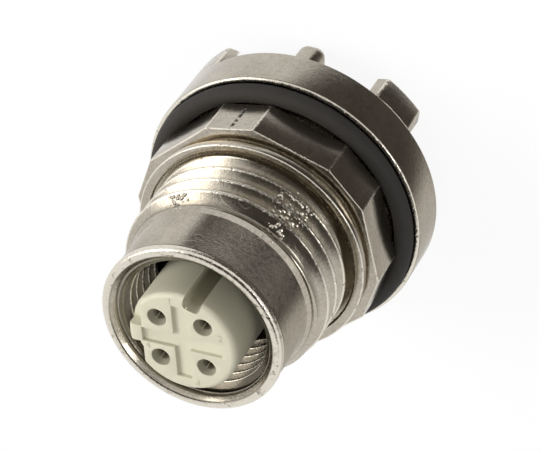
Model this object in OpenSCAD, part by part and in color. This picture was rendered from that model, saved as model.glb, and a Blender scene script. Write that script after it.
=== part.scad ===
// Four-pole M12 panel socket for circuit boards: a plated die-cast housing with an
// M16 mounting thread, a sealed flange and castellated rear, holding a keyed
// moulded contact carrier with four turned socket contacts.
// Millimetres, +Z towards the mating face, standing on the ends of the rear tabs.

/* [Coupling thread] */
// nominal diameter of the inner thread that takes the mating plug
coupling_d = 12; // [10:0.5:16]
// pitch of the inner thread
coupling_pitch = 1.0; // [0.5:0.25:1.5]
// depth of the mating cavity below the rim
cavity_depth = 8.2; // [6.5:0.1:9]
// length of the inner thread below the rim
coupling_len = 6.5; // [5:0.25:8]
// how far the lead-in at the rim opens past the nominal diameter
mouth_over = 0.05; // [0:0.01:0.3]

/* [Rim and sleeve] */
// wall of the rim outside its mouth
rim_wall = 1.05; // [0.8:0.05:1.6]
// axial length of the raised lip around the rim
rim_lip_len = 0.55; // [0.3:0.05:1.2]
// how far the lip stands out from the sleeve
rim_step = 0.08; // [0.04:0.01:0.3]
// rounding of the lip's edges
rim_round = 0.2; // [0.05:0.01:0.25]
// plain sleeve between the lip and the mounting thread's chamfer
sleeve_len = 4.22; // [2:0.02:8]

/* [Mounting thread] */
// nominal diameter of the outer thread that goes through the panel
panel_d = 16; // [15:0.5:20]
// pitch of the outer thread
panel_pitch = 1.5; // [1:0.25:2]
// length of full thread behind the chamfer
panel_thread_len = 4.45; // [3:0.05:10]
// width of the run-out groove behind the thread
runout_w = 0.45; // [0.3:0.05:1.5]
// radial depth of the run-out groove below the crests
runout_depth = 0.7; // [0.4:0.05:1]

/* [Hexagon and collar] */
// width across the hexagon's flats
hex_af = 18.7; // [18:0.1:24]
// width across the small facets that truncate its corners
hex_corner = 19.33; // [19:0.01:21]
// height of the hexagon
hex_h = 3.45; // [2:0.05:6]
// rotation of the hexagon about the axis
hex_turn = 9.2; // [0:0.1:59]
// how far the collar's edge lies inside the flats
collar_inset = 0.25; // [0.1:0.05:0.8]
// width of the collar's raised front ring
collar_ring_w = 0.8; // [0.5:0.05:1]
// axial thickness of the collar
collar_h = 0.65; // [0.5:0.05:1.5]
// height of the raised ring above the collar's floor
collar_rise = 0.25; // [0.1:0.05:0.4]
// width of the groove between collar and hexagon
groove_w = 0.6; // [0.3:0.05:1.5]
// radial depth of that groove
groove_depth = 0.6; // [0.3:0.05:0.9]

/* [Panel seal] */
// inner diameter of the panel O-ring
seal_inner_d = 18.7; // [18.5:0.1:22]
// section diameter of the panel O-ring
seal_section = 1.46; // [1:0.02:2.2]
// radial play between the O-ring and its neck and lip
seal_play = 0.05; // [0.02:0.01:0.2]
// axial gap between the O-ring and the hexagon
seal_gap = 0.14; // [0.05:0.01:0.5]

/* [Flange and tabs] */
// depth of the O-ring's recess below the flange lip
recess_depth = 0.3; // [0.15:0.05:0.6]
// wall of the flange lip around the recess
lip_wall = 0.425; // [0.3:0.025:1]
// height of the flange drum from its rear edge to the lip
drum_h = 3.6; // [3:0.1:6]
// thickness of the flange's floor under the O-ring
floor_t = 1.4; // [0.8:0.1:2.5]
// wall of the drum around the hollow rear
skirt_wall = 0.85; // [0.6:0.05:1.5]
// length of the rear tabs past the drum
tab_len = 2.5; // [1:0.1:5]
// angular width of a tab at its outer face
tab_angle = 17.6; // [10:0.1:30]
// extra angle each side of a tab gains towards the inside
tab_flare = 4; // [0:0.5:8]
// direction of the first of the four tabs
tab_turn = 44.4; // [0:0.1:89]
// width of the locating peg
peg_w = 2.1; // [1:0.1:3]
// radial depth of the locating peg
peg_t = 1.6; // [1:0.1:2.5]
// how far the peg's outer face lies inside the drum's
peg_inset = 0.32; // [0.1:0.02:0.6]
// direction of the locating peg
peg_turn = 86; // [75:1:97]
// rounding of the peg's tip
peg_round = 0.45; // [0.1:0.05:0.7]

/* [Contact carrier] */
// diameter of the carrier's nose
nose_d = 8.45; // [8:0.05:9]
// how far the nose stands out past the rim
nose_out = 1.4; // [0:0.1:2]
// width of the coding keyway
key_w = 1.37; // [1:0.01:2]
// distance from the axis to the keyway's floor
key_floor = 3.15; // [2.8:0.05:3.6]
// length of the keyway from the mating face
key_len = 8.4; // [4:0.1:9]
// direction of the keyway
key_turn = 73.5; // [60:0.5:87]
// distance from the axis to the front flat
flat_r = 3.1; // [2.9:0.05:3.8]
// axial depth of the front flat
flat_len = 1; // [0.4:0.1:3]
// width of the rib that crosses the front flat
rib_w = 1.4; // [0.8:0.1:2.5]
// distance from the axis to the rib's outer end
rib_r = 4.1; // [3.9:0.05:4.2]
// width of the arms of the cross recess in the face
cross_w = 1.2; // [0.6:0.1:1.6]
// reach of those arms from the axis
cross_r = 3.15; // [2.5:0.05:3.6]
// depth of the cross recess
cross_depth = 0.3; // [0.1:0.05:0.6]
// thickness of the housing's inner web around the nose
web_t = 2; // [1.2:0.1:2.5]
// diameter of the carrier's shoulder behind that web
shoulder_d = 12.2; // [11.6:0.1:12.4]
// thickness of the shoulder
shoulder_t = 3; // [2.4:0.1:4]
// depth of the seal groove in the shoulder
gland_depth = 1.1; // [0.8:0.05:1.3]
// axial play of the carrier's seal in its groove
gland_play = 0.3; // [0.1:0.05:0.5]
// radial clearance of the moulded pieces in the housing
fit_clear = 0.05; // [0.02:0.01:0.15]

/* [Contacts] */
// diameter of the circle the contacts stand on
pitch_d = 5.1; // [4.8:0.1:5.3]
// direction of the first contact
contact_turn = 45; // [40:1:50]
// diameter of the mating pin the contacts take
pin_d = 1; // [0.8:0.05:1.1]
// depth of the contact's socket
socket_depth = 6; // [4:0.5:8]
// wall of the contact around its socket
contact_wall = 0.38; // [0.3:0.02:0.5]
// width of the slot that makes the socket springy
slot_w = 0.16; // [0.1:0.02:0.25]
// length of that slot
slot_len = 4; // [2:0.5:5]
// diameter of the contact's rear collar
collar_d = 2.4; // [2.1:0.1:2.6]
// thickness of the contact's rear collar
collar_t = 1; // [0.5:0.1:1.5]
// diameter of the solder tail
tail_d = 0.8; // [0.6:0.05:1]
// diameter of the hole that lets the pin in
entry_d = 1.2; // [1.15:0.05:1.4]
// diameter of the countersink around that hole
sink_d = 1.75; // [1.5:0.05:2]
// thickness of the carrier's face in front of the contacts
face_t = 1; // [0.6:0.1:1.5]
// clearance of the contacts in their channels
contact_clear = 0.05; // [0.02:0.01:0.1]

/* [Rear insulator] */
// depth of the insulator's rear face inside the drum's rear edge
insulator_inset = 0.3; // [0:0.1:0.5]

/* [Hidden] */
$fn = 96;
// depths of 60 degree threads, inner and outer, and the half angle of their vees
coupling_minor_r = coupling_d / 2 - 0.5413 * coupling_pitch;
panel_depth = 0.6134 * panel_pitch;
vee = 30;

// radii, from the mouth outwards
mouth_r = coupling_d / 2 + mouth_over;
rim_r = mouth_r + rim_wall;
sleeve_r = rim_r - rim_step;
panel_r = panel_d / 2;
hex_r = hex_af / 2;
collar_r = hex_r - collar_inset;
neck_r = seal_inner_d / 2 - seal_play;
seal_r = (seal_inner_d + seal_section) / 2;
seal_rise = seal_section / 2 - recess_depth;
seal_half = seal_rise > 0 ? sqrt(pow(seal_section / 2, 2) - pow(seal_rise, 2)) : seal_section / 2;
recess_r = seal_r + seal_half + seal_play;
drum_r = recess_r + lip_wall;
hollow_r = drum_r - skirt_wall;

// heights, from the tab ends upwards
drum_z = tab_len;
lip_z = drum_z + drum_h;
recess_z = lip_z - recess_depth;
hollow_z = recess_z - floor_t;
hex_z = recess_z + seal_section + seal_gap;
groove_z = hex_z + hex_h;
collar_z = groove_z + groove_w;
thread_z = collar_z + collar_h - collar_rise + runout_w;
chamfer_z = thread_z + panel_thread_len;
sleeve_z = chamfer_z + panel_r - sleeve_r;
lip_back_z = sleeve_z + sleeve_len;
rim_z = lip_back_z + rim_lip_len;
face_z = rim_z + nose_out;
cavity_z = rim_z - cavity_depth;
web_z = cavity_z - web_t;

// the moulded pieces and the contacts
nose_r = nose_d / 2;
shoulder_r = shoulder_d / 2;
bore_r = shoulder_r + fit_clear;
shoulder_z = web_z - shoulder_t;
gland_r = shoulder_r - gland_depth;
gland_section = bore_r - gland_r - 2 * fit_clear;
gland_w = gland_section + gland_play;
insulator_r = hollow_r - fit_clear;
insulator_z = drum_z + insulator_inset;
contact_r = pin_d / 2 + contact_wall;
channel_r = contact_r + contact_clear;
pocket_r = collar_d / 2 + contact_clear;
contact_z = face_z - face_t;
tail_r = tail_d / 2;
eps = 0.01;

module hexagon(af) {
    circle(r = af / 2 / cos(30), $fn = 6);
}

// plate with the hexagon's flats and truncated corners, its first flat along +X
module hex_plate(h) {
    linear_extrude(height = h)
        intersection() {
            rotate(30) hexagon(hex_af);
            hexagon(hex_corner);
        }
}

module at_contact(k) {
    rotate(contact_turn + 90 * k) translate([pitch_d / 2, 0, 0]) children();
}

// half section of threads as rings: ridges of a depth and pitch from height low to high,
// standing on the root radius with their crests at the radius beyond it
module thread_rings(root, depth, pitch, low, high) {
    crest = pitch / 16;
    foot = crest + abs(depth) * tan(vee);
    polygon(concat(
        [[0, low]], [[root, low]],
        [for (z = [low + 0.7 * pitch : pitch : high]) each [
            [root, z - foot], [root + depth, z - crest], [root + depth, z + crest], [root, z + foot]
        ]],
        [[root, high + pitch], [0, high + pitch]]
    ));
}

// full outer form of the turned zones, with the lip's rounded front
module turned_profile() {
    // outer thread, ending in the chamfer
    intersection() {
        thread_rings(panel_r - panel_depth, panel_depth, panel_pitch, thread_z, sleeve_z);
        barrel_profile();
    }
    difference() {
        barrel_profile();
        translate([0, thread_z]) square([panel_r + 1, sleeve_z - thread_z]);
    }
    // raised lip
    translate([0, lip_back_z - eps]) square([rim_r - rim_round, rim_lip_len + eps]);
    translate([0, lip_back_z]) square([rim_r, rim_lip_len - rim_round]);
    translate([rim_r - rim_round, rim_z - rim_round]) circle(rim_round, $fn = 32);
}

// sleeve, thread barrel at its crests, run-out groove and collar
module barrel_profile() {
    polygon([
        [0, groove_z - eps], [collar_r - groove_depth, groove_z - eps],
        [collar_r - groove_depth, collar_z], [collar_r - 0.1, collar_z],
        [collar_r, collar_z + 0.1], [collar_r, collar_z + collar_h - 0.2],
        [collar_r - 0.2, collar_z + collar_h],
        [collar_r - collar_ring_w + 0.1, collar_z + collar_h],
        [collar_r - collar_ring_w, collar_z + collar_h - 0.1],
        [collar_r - collar_ring_w, collar_z + collar_h - collar_rise],
        [panel_r - runout_depth, collar_z + collar_h - collar_rise],
        [panel_r - runout_depth, thread_z - 0.3], [panel_r - 0.4, thread_z],
        [panel_r, thread_z], [panel_r, chamfer_z],
        [sleeve_r, sleeve_z], [sleeve_r, lip_back_z], [0, lip_back_z]
    ]);
}

// half sections of the inner thread's grooves
module coupling_grooves() {
    depth = coupling_d / 2 - coupling_minor_r;
    crest = coupling_pitch / 16;
    foot = crest + depth * tan(vee);
    for (z = [rim_z - 1.3 * coupling_pitch : -coupling_pitch : rim_z - coupling_len])
        polygon([
            [coupling_minor_r - depth, z - foot], [coupling_minor_r, z - foot],
            [coupling_minor_r + depth, z - crest], [coupling_minor_r + depth, z + crest],
            [coupling_minor_r, z + foot], [coupling_minor_r - depth, z + foot]
        ]);
}

// flange drum with the O-ring's recess, and the neck up to the hexagon
module drum_profile() {
    r = lip_wall / 2;
    translate([0, drum_z]) square([drum_r, lip_z - r - drum_z]);
    translate([0, drum_z]) square([neck_r, hex_z - drum_z + eps]);
    translate([drum_r - r, lip_z - r]) circle(r, $fn = 32);
}

module tab(turn) {
    a = tab_angle / 2;
    b = a + tab_flare;
    far = 2 * drum_r;
    linear_extrude(height = drum_z + eps)
        intersection() {
            difference() {
                circle(drum_r);
                circle(hollow_r);
            }
            rotate(turn) polygon([
                hollow_r * [cos(b), -sin(b)], drum_r * [cos(a), -sin(a)], [far, -drum_r * sin(a)],
                [far, drum_r * sin(a)], drum_r * [cos(a), sin(a)], hollow_r * [cos(b), sin(b)]
            ]);
        }
}

// locating peg, from the hollow's roof to the tab ends, with a rounded tip
module peg(grow = 0) {
    out = drum_r - peg_inset;
    rotate(peg_turn) translate([out - peg_t - grow, 0, 0])
        rotate([90, 0, 90]) linear_extrude(height = peg_t + 2 * grow) {
            translate([-peg_w / 2 - grow, peg_round])
                square([peg_w + 2 * grow, hollow_z + eps - peg_round]);
            translate([-peg_w / 2 + peg_round, 0]) square([peg_w - 2 * peg_round, peg_round + eps]);
            for (s = [-1, 1])
                translate([s * (peg_w / 2 - peg_round), peg_round]) circle(peg_round, $fn = 32);
        }
}

module housing() {
    color([0.72, 0.68, 0.61])
        difference() {
            union() {
                rotate_extrude() turned_profile();
                difference() {
                    rotate_extrude() drum_profile();
                    // recess that seats the O-ring
                    translate([0, 0, recess_z]) difference() {
                        cylinder(r = recess_r, h = seal_section);
                        translate([0, 0, -1]) cylinder(r = neck_r, h = seal_section + 2);
                    }
                    // hollow rear
                    translate([0, 0, drum_z - 1]) cylinder(r = hollow_r, h = hollow_z - drum_z + 1);
                }
                translate([0, 0, hex_z]) rotate(hex_turn) hex_plate(hex_h);
                for (k = [0 : 3]) tab(tab_turn + 90 * k);
                intersection() {
                    peg();
                    cylinder(r = drum_r - peg_inset, h = hollow_z + 1);
                }
            }
            // mating cavity at the thread's minor diameter, the thread's grooves and the lead-in
            translate([0, 0, cavity_z]) cylinder(r = coupling_minor_r, h = cavity_depth + 1);
            rotate_extrude() coupling_grooves();
            translate([0, 0, rim_z - (mouth_r - coupling_minor_r)])
                cylinder(r1 = coupling_minor_r, r2 = mouth_r, h = mouth_r - coupling_minor_r);
            translate([0, 0, rim_z]) cylinder(r = mouth_r, h = 1);
            // hole for the carrier's nose, and the bore for its shoulder
            cylinder(r = nose_r + fit_clear, h = rim_z);
            translate([0, 0, drum_z - 1]) cylinder(r = bore_r, h = web_z - drum_z + 1);
        }
}

module panel_seal() {
    color([0.24, 0.24, 0.23])
        translate([0, 0, recess_z + seal_section / 2])
            rotate_extrude() translate([seal_r, 0]) circle(seal_section / 2, $fn = 48);
}

module contact_carrier() {
    color([0.8, 0.78, 0.7])
        difference() {
            union() {
                rotate_extrude() {
                    edge = 0.4;
                    translate([0, shoulder_z]) square([nose_r, face_z - edge - shoulder_z]);
                    square_top = face_z - 2 * edge;
                    translate([0, square_top]) square([nose_r - edge, 2 * edge]);
                    translate([nose_r - edge, face_z - edge]) circle(edge, $fn = 32);
                }
                translate([0, 0, shoulder_z]) cylinder(r = shoulder_r, h = shoulder_t);
            }
            // coding keyway
            rotate(key_turn) translate([key_floor, -key_w / 2, face_z - key_len])
                cube([nose_r, key_w, key_len + 1]);
            // front flat, either side of its rib
            difference() {
                translate([-nose_r - 1, -nose_r, face_z - flat_len])
                    cube([nose_r + 1 - flat_r, nose_d, flat_len + 1]);
                translate([-rib_r, -rib_w / 2, face_z - flat_len - 1])
                    cube([rib_r, rib_w, flat_len + 3]);
            }
            // cross recess in the face
            for (a = [0, 90])
                rotate(a) translate([-cross_r, -cross_w / 2, face_z - cross_depth])
                    cube([2 * cross_r, cross_w, 1]);
            // contact channels, each with its entry, countersink and collar pocket
            for (k = [0 : 3]) at_contact(k) {
                cylinder(r = channel_r, h = contact_z);
                cylinder(r = entry_d / 2, h = face_z + 1);
                translate([0, 0, face_z - (sink_d - entry_d) / 2])
                    cylinder(d1 = entry_d, d2 = sink_d, h = (sink_d - entry_d) / 2);
                translate([0, 0, shoulder_z - 1]) cylinder(r = pocket_r, h = collar_t + 1);
            }
            // seal groove around the shoulder
            translate([0, 0, shoulder_z + (shoulder_t - gland_w) / 2]) difference() {
                cylinder(r = bore_r + 1, h = gland_w);
                translate([0, 0, -1]) cylinder(r = gland_r, h = gland_w + 2);
            }
        }
}

module carrier_seal() {
    color([0.1, 0.1, 0.1])
        translate([0, 0, shoulder_z + shoulder_t / 2])
            rotate_extrude() translate([(gland_r + bore_r) / 2, 0])
                circle(gland_section / 2, $fn = 48);
}

module rear_insulator() {
    color([0.16, 0.16, 0.17])
        difference() {
            union() {
                translate([0, 0, insulator_z]) cylinder(r = shoulder_r, h = shoulder_z - insulator_z);
                translate([0, 0, insulator_z]) cylinder(r = insulator_r, h = hollow_z - insulator_z);
            }
            peg(grow = fit_clear);
            for (k = [0 : 3]) at_contact(k) cylinder(r = tail_r + contact_clear, h = face_z);
        }
}

// turned socket contact, from its mouth to the end of its solder tail
module contact(k) {
    color([0.86, 0.7, 0.36])
        at_contact(k)
            difference() {
                union() {
                    translate([0, 0, shoulder_z]) cylinder(r = contact_r, h = contact_z - shoulder_z);
                    translate([0, 0, shoulder_z]) cylinder(d = collar_d, h = collar_t);
                    cylinder(r = tail_r, h = contact_z - socket_depth);
                }
                translate([0, 0, contact_z - socket_depth]) cylinder(d = pin_d, h = socket_depth + 1);
                translate([-slot_w / 2, -contact_r - 1, contact_z - slot_len])
                    cube([slot_w, 2 * contact_r + 2, slot_len + 1]);
            }
}

housing();
panel_seal();
contact_carrier();
carrier_seal();
rear_insulator();
contact(0);  // contact_1
contact(1);  // contact_2
contact(2);  // contact_3
contact(3);  // contact_4
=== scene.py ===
import math
import bpy
from mathutils import Matrix, Vector


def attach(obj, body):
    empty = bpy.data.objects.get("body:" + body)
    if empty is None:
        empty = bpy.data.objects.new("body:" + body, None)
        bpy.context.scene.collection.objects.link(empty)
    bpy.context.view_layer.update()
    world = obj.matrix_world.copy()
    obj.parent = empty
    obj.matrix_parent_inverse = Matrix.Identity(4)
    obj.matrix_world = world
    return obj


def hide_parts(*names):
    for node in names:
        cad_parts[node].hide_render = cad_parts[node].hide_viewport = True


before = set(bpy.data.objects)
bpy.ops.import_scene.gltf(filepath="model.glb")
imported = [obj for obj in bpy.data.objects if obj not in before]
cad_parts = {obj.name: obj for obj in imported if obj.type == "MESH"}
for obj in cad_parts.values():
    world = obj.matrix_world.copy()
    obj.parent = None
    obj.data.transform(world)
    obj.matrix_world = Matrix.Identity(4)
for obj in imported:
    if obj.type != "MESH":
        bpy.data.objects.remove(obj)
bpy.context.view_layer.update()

# sizes are in millimetres, and mm() takes them to metres
def mm(*v):
    return v[0] * 0.001 if len(v) == 1 else tuple(x * 0.001 for x in v)


def clearSelection():
    if bpy.context.object and bpy.context.object.mode != "OBJECT":
        bpy.ops.object.mode_set(mode="OBJECT")
    bpy.ops.object.select_all(action="DESELECT")


def makeActive(*objs):
    clearSelection()
    for o in objs:
        o.select_set(True)
    bpy.context.view_layer.objects.active = objs[0]


def named(name):
    o = bpy.context.object
    o.name = name
    o.data.name = name
    return o


def edit(o):
    makeActive(o)
    bpy.ops.object.mode_set(mode="EDIT")
    bpy.ops.mesh.select_mode(type="VERT")


def done():
    bpy.ops.object.mode_set(mode="OBJECT")


# picks what the test passes, on vertices, edges or faces
def pick(o, kind, test):
    bpy.ops.mesh.select_mode(type={"verts": "VERT", "edges": "EDGE", "faces": "FACE"}[kind])
    bpy.ops.mesh.select_all(action="DESELECT")
    bpy.ops.object.mode_set(mode="OBJECT")
    me = o.data
    if kind == "verts":
        for v in me.vertices:
            v.select = test(v.co)
    elif kind == "edges":
        for e in me.edges:
            a, b = (me.vertices[i].co for i in e.vertices)
            e.select = test(a, b)
    else:
        for f in me.polygons:
            f.select = test(f.center, f.normal)
    bpy.ops.object.mode_set(mode="EDIT")


def tidyMesh(o):
    edit(o)
    bpy.ops.mesh.select_all(action="SELECT")
    bpy.ops.mesh.remove_doubles(threshold=mm(0.0005))
    bpy.ops.mesh.normals_make_consistent(inside=False)
    done()


def applyAll(o):
    makeActive(o)
    for m in list(o.modifiers):
        bpy.ops.object.modifier_apply(modifier=m.name)


# gives the piece's second material to the faces that the test passes
def coatSecond(o, test):
    edit(o)
    pick(o, "faces", test)
    o.active_material_index = 1
    bpy.ops.object.material_slot_assign()
    done()


# spins all that the mesh holds about the axis
def spin(o, steps, degrees=360):
    edit(o)
    bpy.ops.mesh.select_all(action="SELECT")
    bpy.ops.mesh.spin(steps=steps, angle=math.radians(degrees), center=(0, 0, 0), axis=(0, 0, 1))
    done()


# rounds the edges sharper than the angle, and gives the rounding one of the piece's materials; on the metal
# this is the lighter edge colour, a painted highlight
def bevelEdges(o, width, segments=3, angle=30, material=1):
    m = o.modifiers.new("Rounding", "BEVEL")
    m.material = material
    m.width = mm(width)
    m.segments = segments
    m.limit_method = "ANGLE"
    m.angle_limit = math.radians(angle)
    m.use_clamp_overlap = True
    m.miter_outer = "MITER_ARC"
    applyAll(o)


def smooth(o, angle=35):
    makeActive(o)
    bpy.ops.object.shade_smooth_by_angle(angle=math.radians(angle))


# draws a line of points (radius, height) in the XZ plane, one extrusion at a time
def drawLine(name, points):
    clearSelection()
    bpy.ops.mesh.primitive_plane_add(size=mm(0.1), location=mm(points[0][0], 0, points[0][1]))
    o = named(name)
    edit(o)
    bpy.ops.mesh.merge(type="CENTER")
    for a, b in zip(points, points[1:]):
        step = mm(b[0] - a[0], 0, b[1] - a[1])
        bpy.ops.mesh.extrude_region_move(TRANSFORM_OT_translate={"value": step})
    done()
    return settle(o)


# puts the object's place into its mesh
def settle(o):
    makeActive(o)
    bpy.ops.object.transform_apply(location=True, rotation=True, scale=True)
    return o


# points of an arc about a middle, between two angles in degrees
def arc(r, z, radius, first, last, count=6):
    turn = [math.radians(first + (last - first) * i / count) for i in range(count + 1)]
    return [(r + radius * math.cos(t), z + radius * math.sin(t)) for t in turn]


# turns an outline of (radius, height) about the axis into a solid ring
def turned(name, points, steps=192, rounding=0.0, segments=3, coats=()):
    o = drawLine(name, points + points[:1])
    coat(o, coats)
    spin(o, steps)
    tidyMesh(o)
    if rounding:
        bevelEdges(o, rounding, segments)
    smooth(o)
    return o


def coat(o, coats):
    for m in coats:
        o.data.materials.append(m)


def joined(name, parts):
    makeActive(*parts)
    bpy.ops.object.join()
    return named(name)


# a copy with a mesh of its own, turned about the axis
def turnedCopy(o, degrees):
    makeActive(o)
    bpy.ops.object.duplicate(linked=False)
    bpy.ops.transform.rotate(value=-math.radians(degrees), orient_axis="Z", center_override=(0, 0, 0))
    return settle(bpy.context.object)


print("stage: tools ready")


# materials: first what several of them share
def newMaterial(name):
    m = bpy.data.materials.new(name)
    m.use_nodes = True
    return m, m.node_tree, m.node_tree.nodes["Principled BSDF"]


def addNode(tree, kind, **values):
    n = tree.nodes.new(kind)
    for k, v in values.items():
        if k in n.inputs.keys():
            n.inputs[k].default_value = v
        else:
            setattr(n, k, v)
    return n


# a node group with a Vector and plain numbers in, and one number out
def newGroup(name, numbers, vectors=()):
    g = bpy.data.node_groups.new(name, "ShaderNodeTree")
    g.interface.new_socket(name="Vector", in_out="INPUT", socket_type="NodeSocketVector")
    for n in vectors:
        g.interface.new_socket(name=n, in_out="INPUT", socket_type="NodeSocketVector")
    for n, value in numbers.items():
        g.interface.new_socket(name=n, in_out="INPUT", socket_type="NodeSocketFloat").default_value = value
    g.interface.new_socket(name="Mask", in_out="OUTPUT", socket_type="NodeSocketFloat")
    return g, g.nodes.new("NodeGroupInput").outputs, g.nodes.new("NodeGroupOutput").inputs["Mask"]


def placeGroup(tree, group, where, **values):
    n = tree.nodes.new("ShaderNodeGroup")
    n.node_tree = group
    tree.links.new(where, n.inputs["Vector"])
    for k, v in values.items():
        n.inputs[k].default_value = v
    return n.outputs["Mask"]


def calc(tree, operation, a, b, clamp=False):
    n = tree.nodes.new("ShaderNodeMath")
    n.operation = operation
    n.use_clamp = clamp
    for i, v in enumerate((a, b)):
        if isinstance(v, (int, float)):
            n.inputs[i].default_value = v
        else:
            tree.links.new(v, n.inputs[i])
    return n.outputs[0]


def ranged(tree, value, low, high, first=0.0, last=1.0, kind="LINEAR"):
    n = addNode(tree, "ShaderNodeMapRange", interpolation_type=kind)
    for name, v in (("From Min", low), ("From Max", high), ("To Min", first), ("To Max", last)):
        if isinstance(v, (int, float)):
            n.inputs[name].default_value = v
        else:
            tree.links.new(v, n.inputs[name])
    tree.links.new(value, n.inputs["Value"])
    return n.outputs["Result"]


# fine grain of a cast, blasted or moulded surface: two noises of one scale and a coarser one
def grainGroup():
    g, given, out = newGroup("fineGrain", {"Scale": 8000.0, "Contrast": 1.0})
    fine = addNode(g, "ShaderNodeTexNoise", Detail=2.0, Roughness=0.7)
    coarse = addNode(g, "ShaderNodeTexNoise", Detail=1.0)
    for n in (fine, coarse):
        g.links.new(given["Vector"], n.inputs["Vector"])
    g.links.new(given["Scale"], fine.inputs["Scale"])
    g.links.new(calc(g, "MULTIPLY", given["Scale"], 0.37), coarse.inputs["Scale"])
    both = calc(g, "ADD", calc(g, "MULTIPLY", fine.outputs["Fac"], 0.65),
                calc(g, "MULTIPLY", coarse.outputs["Fac"], 0.35))
    spread = calc(g, "MULTIPLY", calc(g, "SUBTRACT", both, 0.5), given["Contrast"])
    g.links.new(calc(g, "ADD", calc(g, "MULTIPLY", spread, 3.0), 0.5, clamp=True), out)
    return g


# thin curved hairlines, where a wandering noise passes its middle
def hairlineGroup():
    g, given, out = newGroup("hairlines", {"Scale": 500.0, "Width": 0.012, "Amount": 0.5})
    lines = addNode(g, "ShaderNodeTexNoise", Detail=0.6, Distortion=1.4)
    where = addNode(g, "ShaderNodeTexNoise", Detail=1.0)
    for n in (lines, where):
        g.links.new(given["Vector"], n.inputs["Vector"])
    g.links.new(given["Scale"], lines.inputs["Scale"])
    g.links.new(calc(g, "MULTIPLY", given["Scale"], 0.6), where.inputs["Scale"])
    away = calc(g, "ABSOLUTE", calc(g, "SUBTRACT", lines.outputs["Fac"], 0.5), 0.0)
    thin = ranged(g, away, 0.0, given["Width"], 1.0, 0.0)
    some = ranged(g, where.outputs["Fac"], 0.52, 0.6)
    g.links.new(calc(g, "MULTIPLY", calc(g, "MULTIPLY", thin, some), given["Amount"]), out)
    return g


# a rough patch round a middle, made of small beads
def beadedGroup():
    g, given, out = newGroup("beadedPatch", {"Reach": 0.001, "Scale": 5000.0}, ("Middle",))
    edge = addNode(g, "ShaderNodeTexNoise", Scale=1800.0, Detail=2.0)
    far = addNode(g, "ShaderNodeVectorMath", operation="DISTANCE")
    beads = addNode(g, "ShaderNodeTexVoronoi", feature="SMOOTH_F1", Smoothness=0.3, Randomness=0.9)
    for n in (edge, far, beads):
        g.links.new(given["Vector"], n.inputs[0])
    g.links.new(given["Middle"], far.inputs[1])
    g.links.new(given["Scale"], beads.inputs["Scale"])
    ragged = calc(g, "MULTIPLY", far.outputs["Value"], calc(g, "ADD", edge.outputs["Fac"], 0.55))
    inside = ranged(g, ragged, calc(g, "MULTIPLY", given["Reach"], 0.75), given["Reach"], 1.0, 0.0)
    domes = ranged(g, beads.outputs["Distance"], 0.15, 0.55, 1.0, 0.0)
    g.links.new(calc(g, "MULTIPLY", inside, domes), out)
    return g


fineGrain = grainGroup()
hairlines = hairlineGroup()
beadedPatch = beadedGroup()

plating = {
    "dark": (0.35, 0.315, 0.26), "light": (0.54, 0.495, 0.42), "rough": (0.12, 0.23),
    # places in millimetres and reach of the rough spots that casting left
    "spots": (((4.75, 6.3, 13.9), 1.7), ((4.55, 6.2, 15.2), 1.25),
              ((4.4, 6.0, 17.0), 0.95), ((-3.1, 7.2, 16.9), 0.95)),
    # the dies' parting line: direction, half width, lowest, highest, and the radius it shows past
    "parting": (98.7, 0.16, 7.5, 10.9, 9.5), "pit": (0.05, 0.04, 0.03),
    # painted shade, darker where shade falls, as (start, end, strength): in the cavity by radius, at the
    # thread's root by radius, and at the foot of the rim's lip by distance from its height; the first entry is
    # the shade's colour
    "paintedShade": (0.09, 0.078, 0.058), "cavity": (6.15, 6.0, 0.85), "root": (7.45, 7.12, 0.7),
    "foot": (0.17, 0.05, 0.75), "footHeight": 21.9, "cavityEnd": (21.6, 22.1), "rootShadeEnd": (17.1, 17.3),
}


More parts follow.
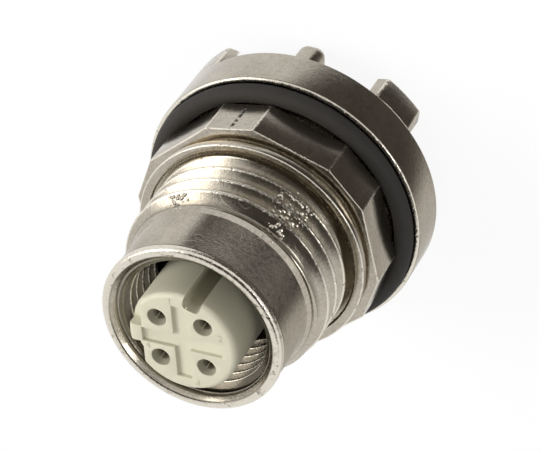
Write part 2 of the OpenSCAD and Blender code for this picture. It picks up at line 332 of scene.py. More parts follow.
def nickelPlating():
    m, tree, shader = newMaterial("nickelPlating")
    link = tree.links.new
    where = addNode(tree, "ShaderNodeTexCoord").outputs["Object"]
    cloud = addNode(tree, "ShaderNodeTexNoise", Scale=420.0, Detail=4.0)
    link(where, cloud.inputs["Vector"])
    clouds = ranged(tree, cloud.outputs["Fac"], 0.3, 0.7)
    grain = placeGroup(tree, fineGrain, where, Scale=9000.0, Contrast=1.3)
    coarse = placeGroup(tree, fineGrain, where, Scale=2600.0, Contrast=0.5)
    hairs = placeGroup(tree, hairlines, where, Scale=420.0, Width=0.006, Amount=0.8)
    beads = 0.0
    for middle, reach in plating["spots"]:
        spot = placeGroup(tree, beadedPatch, where, Middle=mm(*middle), Reach=mm(reach), Scale=3400.0)
        beads = calc(tree, "MAXIMUM", spot, beads)
    # pits along the parting line
    turn, half, low, high, shown = plating["parting"]
    along = addNode(tree, "ShaderNodeVectorMath", operation="DOT_PRODUCT")
    outward = addNode(tree, "ShaderNodeVectorMath", operation="DOT_PRODUCT")
    split = addNode(tree, "ShaderNodeSeparateXYZ")
    t = math.radians(turn)
    along.inputs[1].default_value = (-math.sin(t), math.cos(t), 0)
    outward.inputs[1].default_value = (math.cos(t), math.sin(t), 0)
    for n in (along, outward, split):
        link(where, n.inputs[0])
    seamNoise = addNode(tree, "ShaderNodeTexNoise", Scale=3600.0, Detail=2.0)
    link(where, seamNoise.inputs["Vector"])
    seam = ranged(tree, calc(tree, "ABSOLUTE", along.outputs["Value"], 0.0), mm(half * 0.4), mm(half), 1.0, 0.0)
    seam = calc(tree, "MULTIPLY", seam, ranged(tree, outward.outputs["Value"], mm(shown), mm(shown + 0.1)))
    seam = calc(tree, "MULTIPLY", seam, calc(tree, "GREATER_THAN", split.outputs["Z"], mm(low)))
    seam = calc(tree, "MULTIPLY", seam, calc(tree, "LESS_THAN", split.outputs["Z"], mm(high)))
    pits = calc(tree, "MULTIPLY", seam, ranged(tree, seamNoise.outputs["Fac"], 0.44, 0.56))
    # colour: clouds and grain, lighter on hairlines, lighter on beads as a painted highlight, dark in painted
    # shade and in pits
    tone = addNode(tree, "ShaderNodeMix", data_type="RGBA")
    tone.inputs["A"].default_value = (*plating["dark"], 1)
    tone.inputs["B"].default_value = (*plating["light"], 1)
    mixed = calc(tree, "ADD", calc(tree, "MULTIPLY", clouds, 0.45),
                 calc(tree, "MULTIPLY", grain, 0.55))
    mixed = calc(tree, "ADD", mixed, calc(tree, "MULTIPLY", hairs, 0.4))
    # the beads are painted lighter, a painted highlight on the real casting beads
    mixed = calc(tree, "ADD", mixed, calc(tree, "MULTIPLY", beads, 0.5), clamp=True)
    link(mixed, tone.inputs["Factor"])
    pitted = addNode(tree, "ShaderNodeMix", data_type="RGBA")
    pitted.inputs["B"].default_value = (*plating["pit"], 1)
    link(pits, pitted.inputs["Factor"])
    # painted shade darkens the cavity, the thread's root and the foot of the rim's lip, where shade falls
    flat = addNode(tree, "ShaderNodeVectorMath", operation="MULTIPLY")
    flat.inputs[1].default_value = (1, 1, 0)
    link(where, flat.inputs[0])
    radius = addNode(tree, "ShaderNodeVectorMath", operation="LENGTH")
    link(flat.outputs["Vector"], radius.inputs[0])
    radius, height = radius.outputs["Value"], split.outputs["Z"]

    def paintedShadeBy(value, start, end, strength):
        return ranged(tree, value, mm(end), mm(start), strength, 0.0)

    def until(first, last):
        return ranged(tree, height, mm(first), mm(last), 1.0, 0.0)

    cavity = calc(tree, "MULTIPLY", paintedShadeBy(radius, *plating["cavity"]), until(*plating["cavityEnd"]))
    away = calc(tree, "ABSOLUTE", calc(tree, "SUBTRACT", height, mm(plating["footHeight"])), 0.0)
    paintedShade = calc(tree, "MAXIMUM", cavity, paintedShadeBy(away, *plating["foot"]))
    # painted shade in the thread's root, where the valley lies in shade
    root = calc(tree, "MULTIPLY", paintedShadeBy(radius, *plating["root"]), ranged(tree, radius, mm(7.04), mm(7.08)))
    paintedShade = calc(tree, "MAXIMUM", paintedShade, calc(tree, "MULTIPLY", root, until(*plating["rootShadeEnd"])))
    paintedShadeMix = addNode(tree, "ShaderNodeMix", data_type="RGBA")
    paintedShadeMix.inputs["B"].default_value = (*plating["paintedShade"], 1)
    link(paintedShade, paintedShadeMix.inputs["Factor"])
    link(tone.outputs["Result"], paintedShadeMix.inputs["A"])
    link(paintedShadeMix.outputs["Result"], pitted.inputs["A"])
    link(pitted.outputs["Result"], shader.inputs["Base Color"])
    link(ranged(tree, coarse, 0.0, 1.0, *plating["rough"]), shader.inputs["Roughness"])
    shader.inputs["Metallic"].default_value = 1.0
    relief = calc(tree, "ADD", calc(tree, "MULTIPLY", grain, 0.1), calc(tree, "MULTIPLY", coarse, 0.1))
    relief = calc(tree, "ADD", relief, calc(tree, "MULTIPLY", beads, 2.2))
    relief = calc(tree, "SUBTRACT", relief, calc(tree, "MULTIPLY", hairs, 0.12))
    relief = calc(tree, "SUBTRACT", relief, calc(tree, "MULTIPLY", pits, 1.2))
    bump = addNode(tree, "ShaderNodeBump", Strength=0.55, Distance=mm(0.06))
    link(relief, bump.inputs["Height"])
    link(bump.outputs["Normal"], shader.inputs["Normal"])
    return m


# edges get a lighter colour than the plating, a painted highlight, and carry small nicks
def edgeHighlightNickel():
    m, tree, shader = newMaterial("edgeHighlightNickel")
    link = tree.links.new
    where = addNode(tree, "ShaderNodeTexCoord").outputs["Object"]
    grain = placeGroup(tree, fineGrain, where, Scale=5000.0, Contrast=1.6)
    nicks = addNode(tree, "ShaderNodeTexNoise", Scale=1500.0, Detail=2.5, Roughness=0.7)
    link(where, nicks.inputs["Vector"])
    nicked = ranged(tree, nicks.outputs["Fac"], 0.59, 0.7)
    tone = addNode(tree, "ShaderNodeMix", data_type="RGBA")
    tone.inputs["A"].default_value = (0.72, 0.675, 0.585, 1)
    tone.inputs["B"].default_value = (0.3, 0.26, 0.21, 1)
    link(calc(tree, "MULTIPLY", nicked, 0.7), tone.inputs["Factor"])
    link(tone.outputs["Result"], shader.inputs["Base Color"])
    link(ranged(tree, grain, 0.0, 1.0, 0.12, 0.3), shader.inputs["Roughness"])
    shader.inputs["Metallic"].default_value = 1.0
    relief = calc(tree, "SUBTRACT", calc(tree, "MULTIPLY", grain, 0.25), nicked)
    bump = addNode(tree, "ShaderNodeBump", Strength=0.5, Distance=mm(0.05))
    link(relief, bump.inputs["Height"])
    link(bump.outputs["Normal"], shader.inputs["Normal"])
    return m


# rubber and plastics: a grain for colour and feel, with faint clouds
def moulded(name, colour, rough, scale, strength, clouds=0.08, metallic=0.0):
    m, tree, shader = newMaterial(name)
    link = tree.links.new
    where = addNode(tree, "ShaderNodeTexCoord").outputs["Object"]
    grain = placeGroup(tree, fineGrain, where, Scale=scale, Contrast=0.8)
    cloud = addNode(tree, "ShaderNodeTexNoise", Scale=scale * 0.07, Detail=3.0)
    link(where, cloud.inputs["Vector"])
    tone = addNode(tree, "ShaderNodeMix", data_type="RGBA")
    tone.inputs["A"].default_value = (*(c * (1 - clouds) for c in colour), 1)
    tone.inputs["B"].default_value = (*(min(1, c * (1 + clouds)) for c in colour), 1)
    mixed = calc(tree, "ADD", calc(tree, "MULTIPLY", grain, 0.4),
                 calc(tree, "MULTIPLY", cloud.outputs["Fac"], 0.6))
    link(mixed, tone.inputs["Factor"])
    link(tone.outputs["Result"], shader.inputs["Base Color"])
    link(ranged(tree, grain, 0.0, 1.0, rough - 0.06, rough + 0.06), shader.inputs["Roughness"])
    shader.inputs["Metallic"].default_value = metallic
    bump = addNode(tree, "ShaderNodeBump", Strength=strength, Distance=mm(0.03))
    link(grain, bump.inputs["Height"])
    link(bump.outputs["Normal"], shader.inputs["Normal"])
    return m


nickel, nickelEdgeHighlight = nickelPlating(), edgeHighlightNickel()
sealRubber = moulded("sealRubber", (0.022, 0.019, 0.016), 0.75, 5000.0, 0.25, 0.15)
# the entries' darker plastic is painted shade
entryShadePlastic = moulded("entryShadePlastic", (0.3, 0.28, 0.205), 0.6, 6000.0, 0.12, 0.12)
carrierPlastic = moulded("carrierPlastic", (0.57, 0.545, 0.415), 0.5, 6000.0, 0.12, 0.04)
innerRubber = moulded("innerRubber", (0.022, 0.021, 0.02), 0.6, 5000.0, 0.25, 0.15)
insulatorPlastic = moulded("insulatorPlastic", (0.03, 0.03, 0.032), 0.5, 5000.0, 0.3, 0.12)
contactPlating = moulded("contactPlating", (0.5, 0.41, 0.26), 0.32, 6000.0, 0.2, 0.1, 1.0)
print("stage: materials")


# housing: thread, sleeve, hexagon, flange drum and tabs, cast in one
housing = {
    "panelCrest": 8.0, "panelRoot": 7.08, "panelPitch": 1.5, "threadRear": 11.87, "threadFront": 16.85,
    "chamferEnd": 17.4, "chamferRadius": 7.42, "threadPhase": 0.68, "threadBack": 6.5,
    "bead": 7.3, "beadEnd": 17.75, "sleeve": 7.02, "lipBack": 21.95, "lip": 7.1, "lipRounding": 0.3,
    "rim": 22.5, "rimFlat": 6.44, "couplingMinor": 5.459, "couplingMajor": 6.0, "couplingPitch": 1.0,
    "couplingRear": 16.0, "couplingPhase": 0.303, "leadIn": 0.95,
    "cavityFloor": 14.3, "web": 12.3, "noseHole": 4.275, "bore": 6.15, "coreWall": 6.7, "coreRear": 4.6,
    "grooveRear": 10.7, "groove": 8.49, "collarRear": 11.45, "collar": 9.1, "collarFront": 12.1,
    "runOut": 8.35, "runOutRear": 11.88, "ringBore": 6.4, "collarRounding": 0.11,
    "hexFlats": 18.7, "hexCorners": 19.33, "hexRear": 7.4, "hexFront": 10.85, "hexBore": 6.6,
    "hexTurn": 9.2, "hexRounding": 0.1, "neck": 9.25, "recess": 5.8, "recessWall": 10.73,
    "drum": 11.155, "hollow": 10.305, "hollowTop": 4.4, "drumRear": 2.5, "lipFront": 6.1,
    "innerLip": 0.14, "outerLip": 0.2,
    "tabTurn": 44.4, "tabAngle": 17.6, "tabSpread": 1.45, "tabHeight": 2.6, "tabRounding": 0.16,
    "pegTurn": 86, "pegWidth": 2.1, "pegDepth": 1.6, "pegOut": 10.83, "pegHeight": 4.6,
    "pegRound": 0.8, "pegEdge": 0.72,
}
# the second metal material is the lighter edge colour, a painted highlight
metal = (nickel, nickelEdgeHighlight)


# a helical thread between two heights, closed to a ring against its back wall
def thread(name, root, crest, pitch, low, high, back, limit, phase, steps=144):
    depth = crest - root
    # half a ridge, from the valley's rounding up the flank and over the crest's rounding
    half = [(root, 0.5), (root + 0.04 * depth, 0.45), (root + 0.13 * depth, 0.4),
            (crest - 0.13 * depth, 0.1), (crest - 0.06 * depth, 0.08),
            (crest - 0.015 * depth, 0.055), (crest, 0.025)]
    line = [(r, -z) for r, z in half] + half[::-1]
    start = low - 2 * pitch + phase * pitch
    o = drawLine(name, [(r, start + z * pitch) for r, z in line])
    coat(o, metal)
    m = o.modifiers.new("Helix", "SCREW")
    m.axis = "Z"
    m.steps = m.render_steps = steps
    m.iterations = math.ceil((high - low) / pitch) + 3
    m.screw_offset = mm(pitch)
    m.use_merge_vertices = True
    m.merge_threshold = mm(0.0005)
    m.use_normal_calculate = True
    applyAll(o)
    # the chamfer or lead-in at the end keeps every point within the limit
    for v in o.data.vertices:
        r = math.hypot(v.co.x, v.co.y)
        want = limit(r * 1000, v.co.z * 1000) * 0.001
        v.co.x *= want / r
        v.co.y *= want / r
    edit(o)
    for z, rear in ((low, True), (high, False)):
        bpy.ops.mesh.select_all(action="SELECT")
        bpy.ops.mesh.bisect(plane_co=(0, 0, mm(z)), plane_no=(0, 0, 1), clear_inner=rear,
                            clear_outer=not rear, threshold=mm(0.0001))
    bpy.ops.mesh.select_all(action="SELECT")
    bpy.ops.mesh.remove_doubles(threshold=mm(0.0005))
    # both cut ends go out to the back wall, and a wall joins them
    bpy.ops.mesh.select_non_manifold(extend=False, use_wire=False, use_multi_face=False,
                                     use_non_contiguous=False, use_verts=False)
    bpy.ops.mesh.extrude_edges_move()
    done()
    for v in o.data.vertices:
        if v.select:
            r = math.hypot(v.co.x, v.co.y)
            v.co.x *= mm(back) / r
            v.co.y *= mm(back) / r
    bpy.ops.object.mode_set(mode="EDIT")
    bpy.ops.mesh.bridge_edge_loops()
    bpy.ops.mesh.select_all(action="SELECT")
    bpy.ops.mesh.normals_make_consistent(inside=False)
    done()
    # the crest gets the lighter edge colour, a painted highlight
    coatSecond(o, lambda c, n: abs(math.hypot(c.x, c.y) - mm(crest)) < mm(0.12 * abs(depth)))
    smooth(o, 30)
    return o


def outerThread():
    h = housing
    slope = (h["panelCrest"] - h["chamferRadius"]) / (h["chamferEnd"] - h["threadFront"])

    def limit(r, z):
        return min(r, h["panelCrest"] - max(0, z - h["threadFront"]) * slope)

    return thread("outerThread", h["panelRoot"], h["panelCrest"], h["panelPitch"],
                  h["threadRear"], h["chamferEnd"], h["threadBack"], limit, h["threadPhase"])


def innerThread():
    h = housing

    def limit(r, z):
        return max(r, h["couplingMinor"] + max(0, z - (h["rim"] - h["leadIn"])))

    return thread("innerThread", h["couplingMajor"], h["couplingMinor"], h["couplingPitch"],
                  h["couplingRear"], h["rim"] - 0.5, h["threadBack"], limit, h["couplingPhase"])


# core: bore for the carrier, web round its nose, cavity, sleeve and rim
def core():
    h = housing
    lip, major, rim = h["lipRounding"], h["couplingMajor"], h["rim"]
    o = turned("core", [
        (h["noseHole"], h["web"]), (h["noseHole"], h["cavityFloor"]),
        (h["couplingMinor"], h["cavityFloor"]), (h["couplingMinor"], h["couplingRear"] + 0.05),
        (major + 0.03, h["couplingRear"] + 0.1), (major + 0.03, rim - 0.48), (major + 0.12, rim - 0.28),
        (h["rimFlat"] - 0.06, rim - 0.1), (h["rimFlat"] - 0.02, rim - 0.03), (h["rimFlat"] + 0.05, rim),
        *arc(h["lip"] - lip, rim - lip, lip, 90, 0, 7),
        (h["lip"], h["lipBack"] + 0.03), (h["sleeve"] - 0.06, h["lipBack"]), (h["sleeve"], h["lipBack"] - 0.1),
        (h["sleeve"], h["beadEnd"] + 0.05), (h["sleeve"] + 0.03, h["beadEnd"]),
        (h["bead"] - 0.03, h["chamferEnd"] + 0.12), (h["bead"], h["chamferEnd"] + 0.06),
        (h["bead"], h["chamferEnd"] - 0.1), (h["coreWall"], h["chamferEnd"] - 0.1),
        (h["coreWall"], h["coreRear"]), (h["bore"], h["coreRear"]), (h["bore"], h["web"]),
    ], coats=metal)
    # the rim's lip gets the lighter edge colour, a painted highlight
    coatSecond(o, lambda c, n: c.z > mm(h["lipBack"] + 0.1) and math.hypot(c.x, c.y) > mm(h["rimFlat"] + 0.1))
    return o


# run-out groove, collar with its raised front ring, and the groove behind it
def collar():
    h = housing
    return turned("collar", [
        (h["ringBore"], h["grooveRear"]), (h["groove"], h["grooveRear"]), (h["groove"], h["collarRear"]),
        (h["collar"], h["collarRear"]), (h["collar"], h["collarFront"]), (h["runOut"], h["collarFront"]),
        (h["runOut"], h["runOutRear"]), (h["ringBore"], h["runOutRear"]),
    ], rounding=h["collarRounding"], coats=metal)


def hexagon():
    h = housing
    clearSelection()
    flats, corners = h["hexFlats"] / 2, h["hexCorners"] / 2
    sharp = flats / math.cos(math.pi / 6)
    bpy.ops.mesh.primitive_cylinder_add(vertices=6, radius=mm(sharp), depth=mm(h["hexFront"] - h["hexRear"]),
                                        location=mm(0, 0, (h["hexFront"] + h["hexRear"]) / 2))
    o = settle(named("hexagon"))
    coat(o, metal)
    edit(o)
    # both ends are opened for the bore
    pick(o, "faces", lambda c, n: abs(n.z) > 0.9)
    bpy.ops.mesh.inset(thickness=mm(flats - h["hexBore"]), use_individual=True)
    bpy.ops.mesh.bridge_edge_loops()
    # the corners are cut to narrow facets
    pick(o, "edges", lambda a, b: abs(a.z - b.z) > mm(1) and math.hypot(a.x, a.y) > mm(sharp) * 0.98)
    bpy.ops.mesh.bevel(offset_type="DEPTH", offset=mm(sharp - corners), segments=1)
    done()
    o.data.transform(Matrix.Rotation(math.radians(h["hexTurn"]), 4, "Z"))
    bevelEdges(o, h["hexRounding"], 3, 20)
    smooth(o, 20)
    return o


# flange drum: neck, seat of the O-ring, lip, outer wall and hollow rear
def drum():
    h = housing
    inner, outer = h["innerLip"], h["outerLip"]
    o = turned("drum", [
        (h["ringBore"], h["hexRear"] + 0.1), (h["neck"], h["hexRear"] + 0.1), (h["neck"], h["recess"]),
        (h["recessWall"] - 0.04, h["recess"]), (h["recessWall"], h["recess"] + 0.04),
        *arc(h["recessWall"] + inner, h["lipFront"] - inner, inner, 180, 90, 4),
        *arc(h["drum"] - outer, h["lipFront"] - outer, outer, 90, 0, 5),
        (h["drum"], h["drumRear"] + 0.06), (h["drum"] - 0.06, h["drumRear"]),
        (h["hollow"] + 0.05, h["drumRear"]), (h["hollow"], h["drumRear"] + 0.05),
        (h["hollow"], h["hollowTop"]), (h["ringBore"], h["hollowTop"]),
    ], coats=metal)
    # the drum's lip gets the lighter edge colour too, a painted highlight
    coatSecond(o, lambda c, n: c.z > mm(h["lipFront"] - 0.1))
    return o


# tabs: a section spun over the tab's angle, spread at its inner side
def tabs():
    h = housing
    wall = h["drum"] - h["hollow"]
    clearSelection()
    bpy.ops.mesh.primitive_plane_add(size=mm(1), location=mm(h["hollow"] + wall / 2, 0, h["tabHeight"] / 2),
                                     rotation=(math.pi / 2, 0, 0))
    o = named("tab0")
    o.scale = (wall, h["tabHeight"], 1)
    settle(o)
    coat(o, metal)
    o.data.transform(Matrix.Rotation(math.radians(-h["tabAngle"] / 2), 4, "Z"))
    spin(o, 8, h["tabAngle"])
    # a spin that went the other way is turned back to the middle
    if max(v.co.y for v in o.data.vertices) < mm(0.1):
        o.data.transform(Matrix.Rotation(math.radians(h["tabAngle"]), 4, "Z"))
    edit(o)
    pick(o, "verts", lambda p: math.hypot(p.x, p.y) < mm(h["hollow"] + 0.1))
    bpy.ops.transform.resize(value=(1, h["tabSpread"], 1), center_override=(0, 0, 0))
    done()
    tidyMesh(o)
    bevelEdges(o, h["tabRounding"], 4)
    smooth(o)
    o.data.transform(Matrix.Rotation(math.radians(h["tabTurn"]), 4, "Z"))
    return [o] + [turnedCopy(o, 90 * k) for k in (1, 2, 3)]


# locating peg with its rounded tip
def peg():
    h = housing
    clearSelection()
    bpy.ops.mesh.primitive_cube_add(size=mm(1),
                                    location=mm(h["pegOut"] - h["pegDepth"] / 2, 0, h["pegHeight"] / 2))
    o = named("peg")
    o.scale = (h["pegDepth"], h["pegWidth"], h["pegHeight"])
    settle(o)
    coat(o, metal)
    edit(o)
    pick(o, "edges", lambda a, b: abs(a.x - b.x) > mm(1) and max(a.z, b.z) < mm(1))
    bpy.ops.mesh.bevel(offset=mm(h["pegRound"]), segments=7)
    # the outer face tapers towards its rounded tip
    pick(o, "edges", lambda a, b: min(a.x, b.x) > mm(h["pegOut"] - 0.1))
    bpy.ops.mesh.bevel(offset=mm(h["pegEdge"]), segments=6)
    done()
    tidyMesh(o)
    smooth(o, 40)
    o.data.transform(Matrix.Rotation(math.radians(h["pegTurn"]), 4, "Z"))
    return o


housingBody = joined("housingBody", [
    core(), outerThread(), innerThread(), collar(), hexagon(), drum(), *tabs(), peg(),
])
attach(housingBody, "root")
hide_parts("housing")
print("stage: housing", len(housingBody.data.polygons), "faces")


# panel seal: an O-ring with its moulding flash
panelSeal = {"radius": 10.08, "section": 0.73, "height": 6.53, "flash": 0.025, "flashWidth": 0.035}


def buildPanelSeal():
    s = panelSeal
    clearSelection()
    bpy.ops.mesh.primitive_torus_add(major_radius=mm(s["radius"]), minor_radius=mm(s["section"]),
                                     major_segments=192, minor_segments=32, location=mm(0, 0, s["height"]))
    o = settle(named("panelSealRing"))
    coat(o, (sealRubber,))
    edit(o)
    # the flash is a fine ridge on the ring's inner and outer line
    pick(o, "edges", lambda a, b: all(abs(p.z - mm(s["height"])) < mm(0.001) for p in (a, b)))
    bpy.ops.mesh.bevel(offset=mm(s["flashWidth"]), segments=2)
    pick(o, "verts", lambda p: abs(p.z - mm(s["height"])) < mm(0.001))
    bpy.ops.transform.shrink_fatten(value=mm(s["flash"]))
    done()
    smooth(o, 60)
    return o


panelSealRing = buildPanelSeal()
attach(panelSealRing, "root")
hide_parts("panel_seal")
print("stage: panel seal")


# contact carrier: nose with keyway, flat and rib, cross, holes and numerals
carrier = {
    "radius": 4.225, "face": 23.9, "edge": 0.4, "edgeRounding": 0.035,
    "shoulder": 6.1, "shoulderRear": 9.3, "shoulderFront": 12.3,
    "gland": 5.0, "glandRear": 10.12, "glandFront": 11.48,
    "keyWidth": 1.37, "keyFloor": 3.15, "keyLength": 8.4, "keyTurn": 73.5, "keyRounding": 0.42,
    "flat": 3.1, "flatDepth": 1.0, "rib": 1.4, "ribReach": 4.1,
    "cross": 1.2, "crossReach": 3.15, "crossDepth": 0.3,
    "pitchRadius": 2.55, "hole": 0.55, "sink": 0.76, "sinkDepth": 0.5, "channel": 0.93, "pocket": 1.25,
    "faceWall": 1.0, "numeralHeight": 0.72, "numeralRise": 0.05, "numeralWeight": 0.008,
    "numerals": ((-0.68, 3.52, 0), (3.05, 1.12, -12), (0.97, -3.45, -6), (-2.75, -0.95, 4)),
}


def cutBox(x0, x1, y0, y1, z0, z1):
    clearSelection()
    bpy.ops.mesh.primitive_cube_add(size=mm(1), location=mm((x0 + x1) / 2, (y0 + y1) / 2, (z0 + z1) / 2))
    o = named("cutter")
    o.scale = (x1 - x0, y1 - y0, z1 - z0)
    return settle(o)


# a turned cutter on a contact's axis, from points of radius and height
def cutTurned(k, points):
    o = turned("cutter", points, steps=48)
    t = math.radians(45 + 90 * k)
    o.location = mm(carrier["pitchRadius"] * math.cos(t), carrier["pitchRadius"] * math.sin(t), 0)
    return settle(o)


def cutAway(o, cutter):
    m = o.modifiers.new("Cut", "BOOLEAN")
    m.operation = "DIFFERENCE"
    m.solver = "EXACT"
    m.object = cutter
    applyAll(o)
    bpy.data.objects.remove(cutter)


def numeral(k, x, y, turn):
    clearSelection()
    bpy.ops.object.text_add(location=mm(x, y, carrier["face"] - 0.01), rotation=(0, 0, math.radians(turn)))
    t = bpy.context.object
    t.data.body = str(k + 1)
    t.data.size = mm(carrier["numeralHeight"])
    t.data.extrude = mm(carrier["numeralRise"])
    t.data.offset = mm(carrier["numeralWeight"])
    t.data.align_x = t.data.align_y = "CENTER"
    bpy.ops.object.convert(target="MESH")
    n = settle(named(f"numeral{k}"))
    coat(n, (carrierPlastic,))
    tidyMesh(n)
    return n


# the keyway's floor has rounded corners
def keyCutter():
    c = carrier
    half, f = c["keyWidth"] / 2, c["face"]
    key = cutBox(c["keyFloor"], 6, -half, half, f - c["keyLength"], f + 1)
    edit(key)
    pick(key, "edges", lambda a, b: max(a.x, b.x) < mm(4) and abs(a.z - b.z) > mm(1))
    bpy.ops.mesh.bevel(offset=mm(c["keyRounding"]), segments=5, affect="EDGES")
    done()
    key.data.transform(Matrix.Rotation(math.radians(c["keyTurn"]), 4, "Z"))
    return key


def buildCarrier():
    c = carrier
    f, e = c["face"], c["edge"]
    o = drawLine("carrierBody", [
        (0, c["shoulderRear"]), (c["shoulder"], c["shoulderRear"]), (c["shoulder"], c["glandRear"]),
        (c["gland"], c["glandRear"]), (c["gland"], c["glandFront"]), (c["shoulder"], c["glandFront"]),
        (c["shoulder"], c["shoulderFront"]), (c["radius"], c["shoulderFront"]),
        *arc(c["radius"] - e, f - e, e, 0, 90), (0, f),
    ])
    coat(o, (carrierPlastic, entryShadePlastic))
    spin(o, 144)
    tidyMesh(o)
    # front flat with its rib, then the cross
    for y0, y1 in ((-6, -c["rib"] / 2), (c["rib"] / 2, 6)):
        cutAway(o, cutBox(-6, -c["flat"], y0, y1, f - c["flatDepth"], f + 1))
    cutAway(o, cutBox(-6, -c["ribReach"], -1, 1, f - c["flatDepth"], f + 1))
    a, b = c["crossReach"], c["cross"] / 2
    cutAway(o, cutBox(-a, a, -b, b, f - c["crossDepth"], f + 1))
    cutAway(o, cutBox(-b, b, -a, a, f - c["crossDepth"], f + 1))
    # pocket and channel from behind, hole and countersink in front
    rear, deep, sunk = c["shoulderRear"] + 1, f - c["faceWall"], f - c["sinkDepth"]
    for k in range(4):
        cutAway(o, cutTurned(k, [
            (0.02, 8), (c["pocket"], 8), (c["pocket"], rear), (c["channel"], rear), (c["channel"], deep),
            (c["hole"], deep), (c["hole"], sunk - 0.05), (c["hole"] + 0.04, sunk + 0.02),
            (c["sink"] - 0.03, f - 0.04), (c["sink"] + 0.12, f + 0.2), (0.02, f + 0.2),
        ]))
    bevelEdges(o, c["edgeRounding"], 2, 50, 0)
    cutAway(o, keyCutter())
    # the entries get a darker plastic than the face, painted shade in the countersinks and holes
    off = mm(c["pitchRadius"] * math.sqrt(0.5))
    coatSecond(o, lambda p, n: mm(f - 1.3) < p.z < mm(f - 0.03)
               and math.hypot(abs(p.x) - off, abs(p.y) - off) < mm(c["sink"] - 0.01))
    numerals = [numeral(k, *place) for k, place in enumerate(c["numerals"])]
    o = joined("carrierBody", [o, *numerals])
    smooth(o, 28)
    return o


carrierBody = buildCarrier()
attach(carrierBody, "root")
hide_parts("contact_carrier")
print("stage: carrier", len(carrierBody.data.polygons), "faces")


# the pieces inside keep their solids, and get their finish
def dressNode(name, material):
    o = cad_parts[name]
    for s in o.material_slots:
        s.material = material
    if not o.material_slots:
        o.data.materials.append(material)


dressNode("carrier_seal", innerRubber)
dressNode("rear_insulator", insulatorPlastic)
for k in range(1, 5):
    dressNode(f"contact_{k}", contactPlating)
print("stage: inner pieces")


# camera, floor and light
view = {
    "place": (70.25, 114.88, 150.09), "right": (0.9131, -0.0609, -0.4032), "up": (-0.1935, 0.8058, -0.5598),
    "lens": 173.33,
}


def buildCamera():
    right, up = Vector(view["right"]).normalized(), Vector(view["up"])
    back = right.cross(up).normalized()
    up = back.cross(right)
    cam = bpy.data.cameras.new("camera")
    o = bpy.data.objects.new("camera", cam)
    bpy.context.scene.collection.objects.link(o)
    o.matrix_world = Matrix.Translation(mm(*view["place"])) @ Matrix((right, up, back)).transposed().to_4x4()
    cam.lens = view["lens"]
    cam.sensor_width = 36
    cam.clip_start = 0.01
    bpy.context.scene.camera = o
    return right, up, back


camRight, camUp, camBack = buildCamera()
middle = Vector(mm(0, 0, 13))  # of the object, where the lamps and discs aim


def aimed(place):
    return (middle - place).to_track_quat("-Z", "Y").to_euler()


# a direction given as right, up and towards the camera
def towards(r, u, b):
    return (camRight * r + camUp * u + camBack * b).normalized()


def lamp(name, direction, distance, size, power, glossy=True):
    place = middle + Vector(direction).normalized() * distance
    light = bpy.data.lights.new(name, "AREA")
    light.size = size
    light.energy = power
    o = bpy.data.objects.new(name, light)
    bpy.context.scene.collection.objects.link(o)
    o.location = place
    o.rotation_euler = aimed(place)
    o.visible_glossy = glossy
    return o


# a soft-edged disc
def disc(name, place, reach, colour, soft):
    clearSelection()
    place = Vector(place)
    bpy.ops.mesh.primitive_circle_add(vertices=48, radius=reach, fill_type="NGON", location=place,
                                      rotation=aimed(place))
    o = settle(named(name))
    m, tree, shader = newMaterial(name)
    where = addNode(tree, "ShaderNodeTexCoord")
    far = addNode(tree, "ShaderNodeVectorMath", operation="DISTANCE")
    far.inputs[1].default_value = place
    tree.links.new(where.outputs["Object"], far.inputs[0])
    softFlag(o, m, far.outputs["Value"], reach * (1 - soft), reach, colour)
    return o


# a board below the floor, which starts at a soft edge line
def board(name, turn, near, soft, reach, depth, colour):
    clearSelection()
    bpy.ops.mesh.primitive_plane_add(size=2 * reach, location=(0, 0, -depth))
    o = settle(named(name))
    m, tree, shader = newMaterial(name)
    where = addNode(tree, "ShaderNodeTexCoord")
    t = math.radians(turn)
    far = addNode(tree, "ShaderNodeVectorMath", operation="DOT_PRODUCT")
    far.inputs[1].default_value = (-math.cos(t), -math.sin(t), 0)
    tree.links.new(where.outputs["Object"], far.inputs[0])
    softFlag(o, m, far.outputs["Value"], -near - soft, -near + soft, colour)
    return o


# its colour below the low distance, clear past the high one, and seen only by reflections
def softFlag(o, m, distance, low, high, colour):
    tree = m.node_tree
    link = tree.links.new
    glow = addNode(tree, "ShaderNodeEmission", Color=(*colour, 1), Strength=1.0)
    clear = addNode(tree, "ShaderNodeBsdfTransparent")
    mix = addNode(tree, "ShaderNodeMixShader")
    link(ranged(tree, distance, low, high, kind="SMOOTHSTEP"), mix.inputs[0])
    link(glow.outputs[0], mix.inputs[1])
    link(clear.outputs[0], mix.inputs[2])
    link(mix.outputs[0], tree.nodes["Material Output"].inputs["Surface"])
    o.data.materials.append(m)
    o.visible_camera = o.visible_diffuse = o.visible_shadow = False


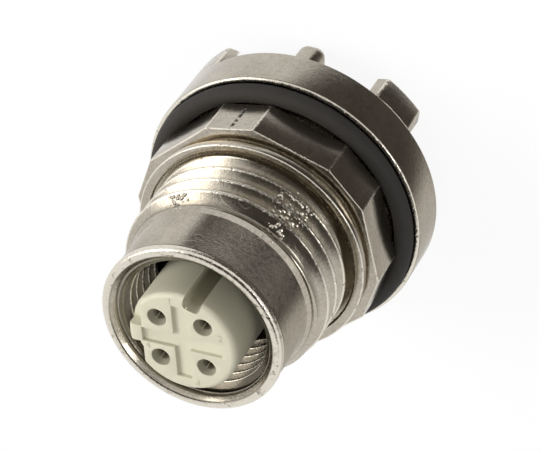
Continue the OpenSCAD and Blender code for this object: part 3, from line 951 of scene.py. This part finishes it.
# pale paper that keeps the shadow, and that reflections pass to see the world and the boards
def buildFloor():
    clearSelection()
    bpy.ops.mesh.primitive_plane_add(size=4.0, location=(0, 0, 0))
    o = settle(named("floor"))
    m, tree, shader = newMaterial("floorPaper")
    shader.inputs["Base Color"].default_value = (0.9, 0.9, 0.9, 1)
    shader.inputs["Roughness"].default_value = 0.9
    glow = addNode(tree, "ShaderNodeEmission", Color=(1, 1, 1, 1), Strength=1.0)
    path = addNode(tree, "ShaderNodeLightPath")
    mix = addNode(tree, "ShaderNodeMixShader")
    link = tree.links.new
    link(calc(tree, "MULTIPLY", path.outputs["Is Camera Ray"], 0.92), mix.inputs[0])
    link(shader.outputs[0], mix.inputs[1])
    link(glow.outputs[0], mix.inputs[2])
    link(mix.outputs[0], tree.nodes["Material Output"].inputs["Surface"])
    o.data.materials.append(m)
    o.visible_glossy = False


# white to the camera, reflections and glass, and a soft light to all else
def buildWorld():
    world = bpy.data.worlds.new("studio")
    bpy.context.scene.world = world
    world.use_nodes = True
    tree = world.node_tree
    link = tree.links.new
    soft = tree.nodes["Background"]
    soft.inputs["Color"].default_value = (1, 1, 1, 1)
    soft.inputs["Strength"].default_value = 0.25
    white = addNode(tree, "ShaderNodeBackground", Color=(1, 1, 1, 1), Strength=1.0)
    path = addNode(tree, "ShaderNodeLightPath")
    mix = addNode(tree, "ShaderNodeMixShader")
    seen = calc(tree, "MAXIMUM", path.outputs["Is Camera Ray"], path.outputs["Is Glossy Ray"])
    link(calc(tree, "MAXIMUM", seen, path.outputs["Is Transmission Ray"]), mix.inputs[0])
    link(soft.outputs[0], mix.inputs[1])
    link(white.outputs[0], mix.inputs[2])
    link(mix.outputs[0], tree.nodes["World Output"].inputs["Surface"])


buildFloor()
buildWorld()
# what the metal reflects: a dark board and a grey disc below, a dark disc above, two bright windows
board("lowerBoard", 39.4, 0.156, 0.065, 1.5, 0.3, (0.085, 0.077, 0.068))
disc("sideBoard", (0.225, -0.268, -0.34), 0.45, (0.72, 0.7, 0.67), 0.5)
disc("upperDisc", Vector((0.17, 0.05, 0.98)) * 0.4, 0.33, (0.07, 0.063, 0.055), 0.22)
disc("softWindow", Vector((-0.655, 0.185, 0.735)) * 0.34, 0.11, (3.6, 3.5, 3.3), 0.35)
disc("lowWindow", Vector((-0.6, 0.5, 0.6)) * 0.34, 0.08, (3.4, 3.3, 3.1), 0.4)
lamp("keyLamp", (-0.651, 0.19, 0.735), 0.3, 0.17, 0.88, glossy=False)
lamp("sideLamp", (0.77, 0.12, 0.63), 0.3, 0.08, 0.12)
lamp("fillLamp", towards(-0.2, -0.6, 0.6), 0.5, 0.3, 0.5, glossy=False)
bpy.context.scene.view_settings.view_transform = "Standard"
print("stage: camera, floor and light")
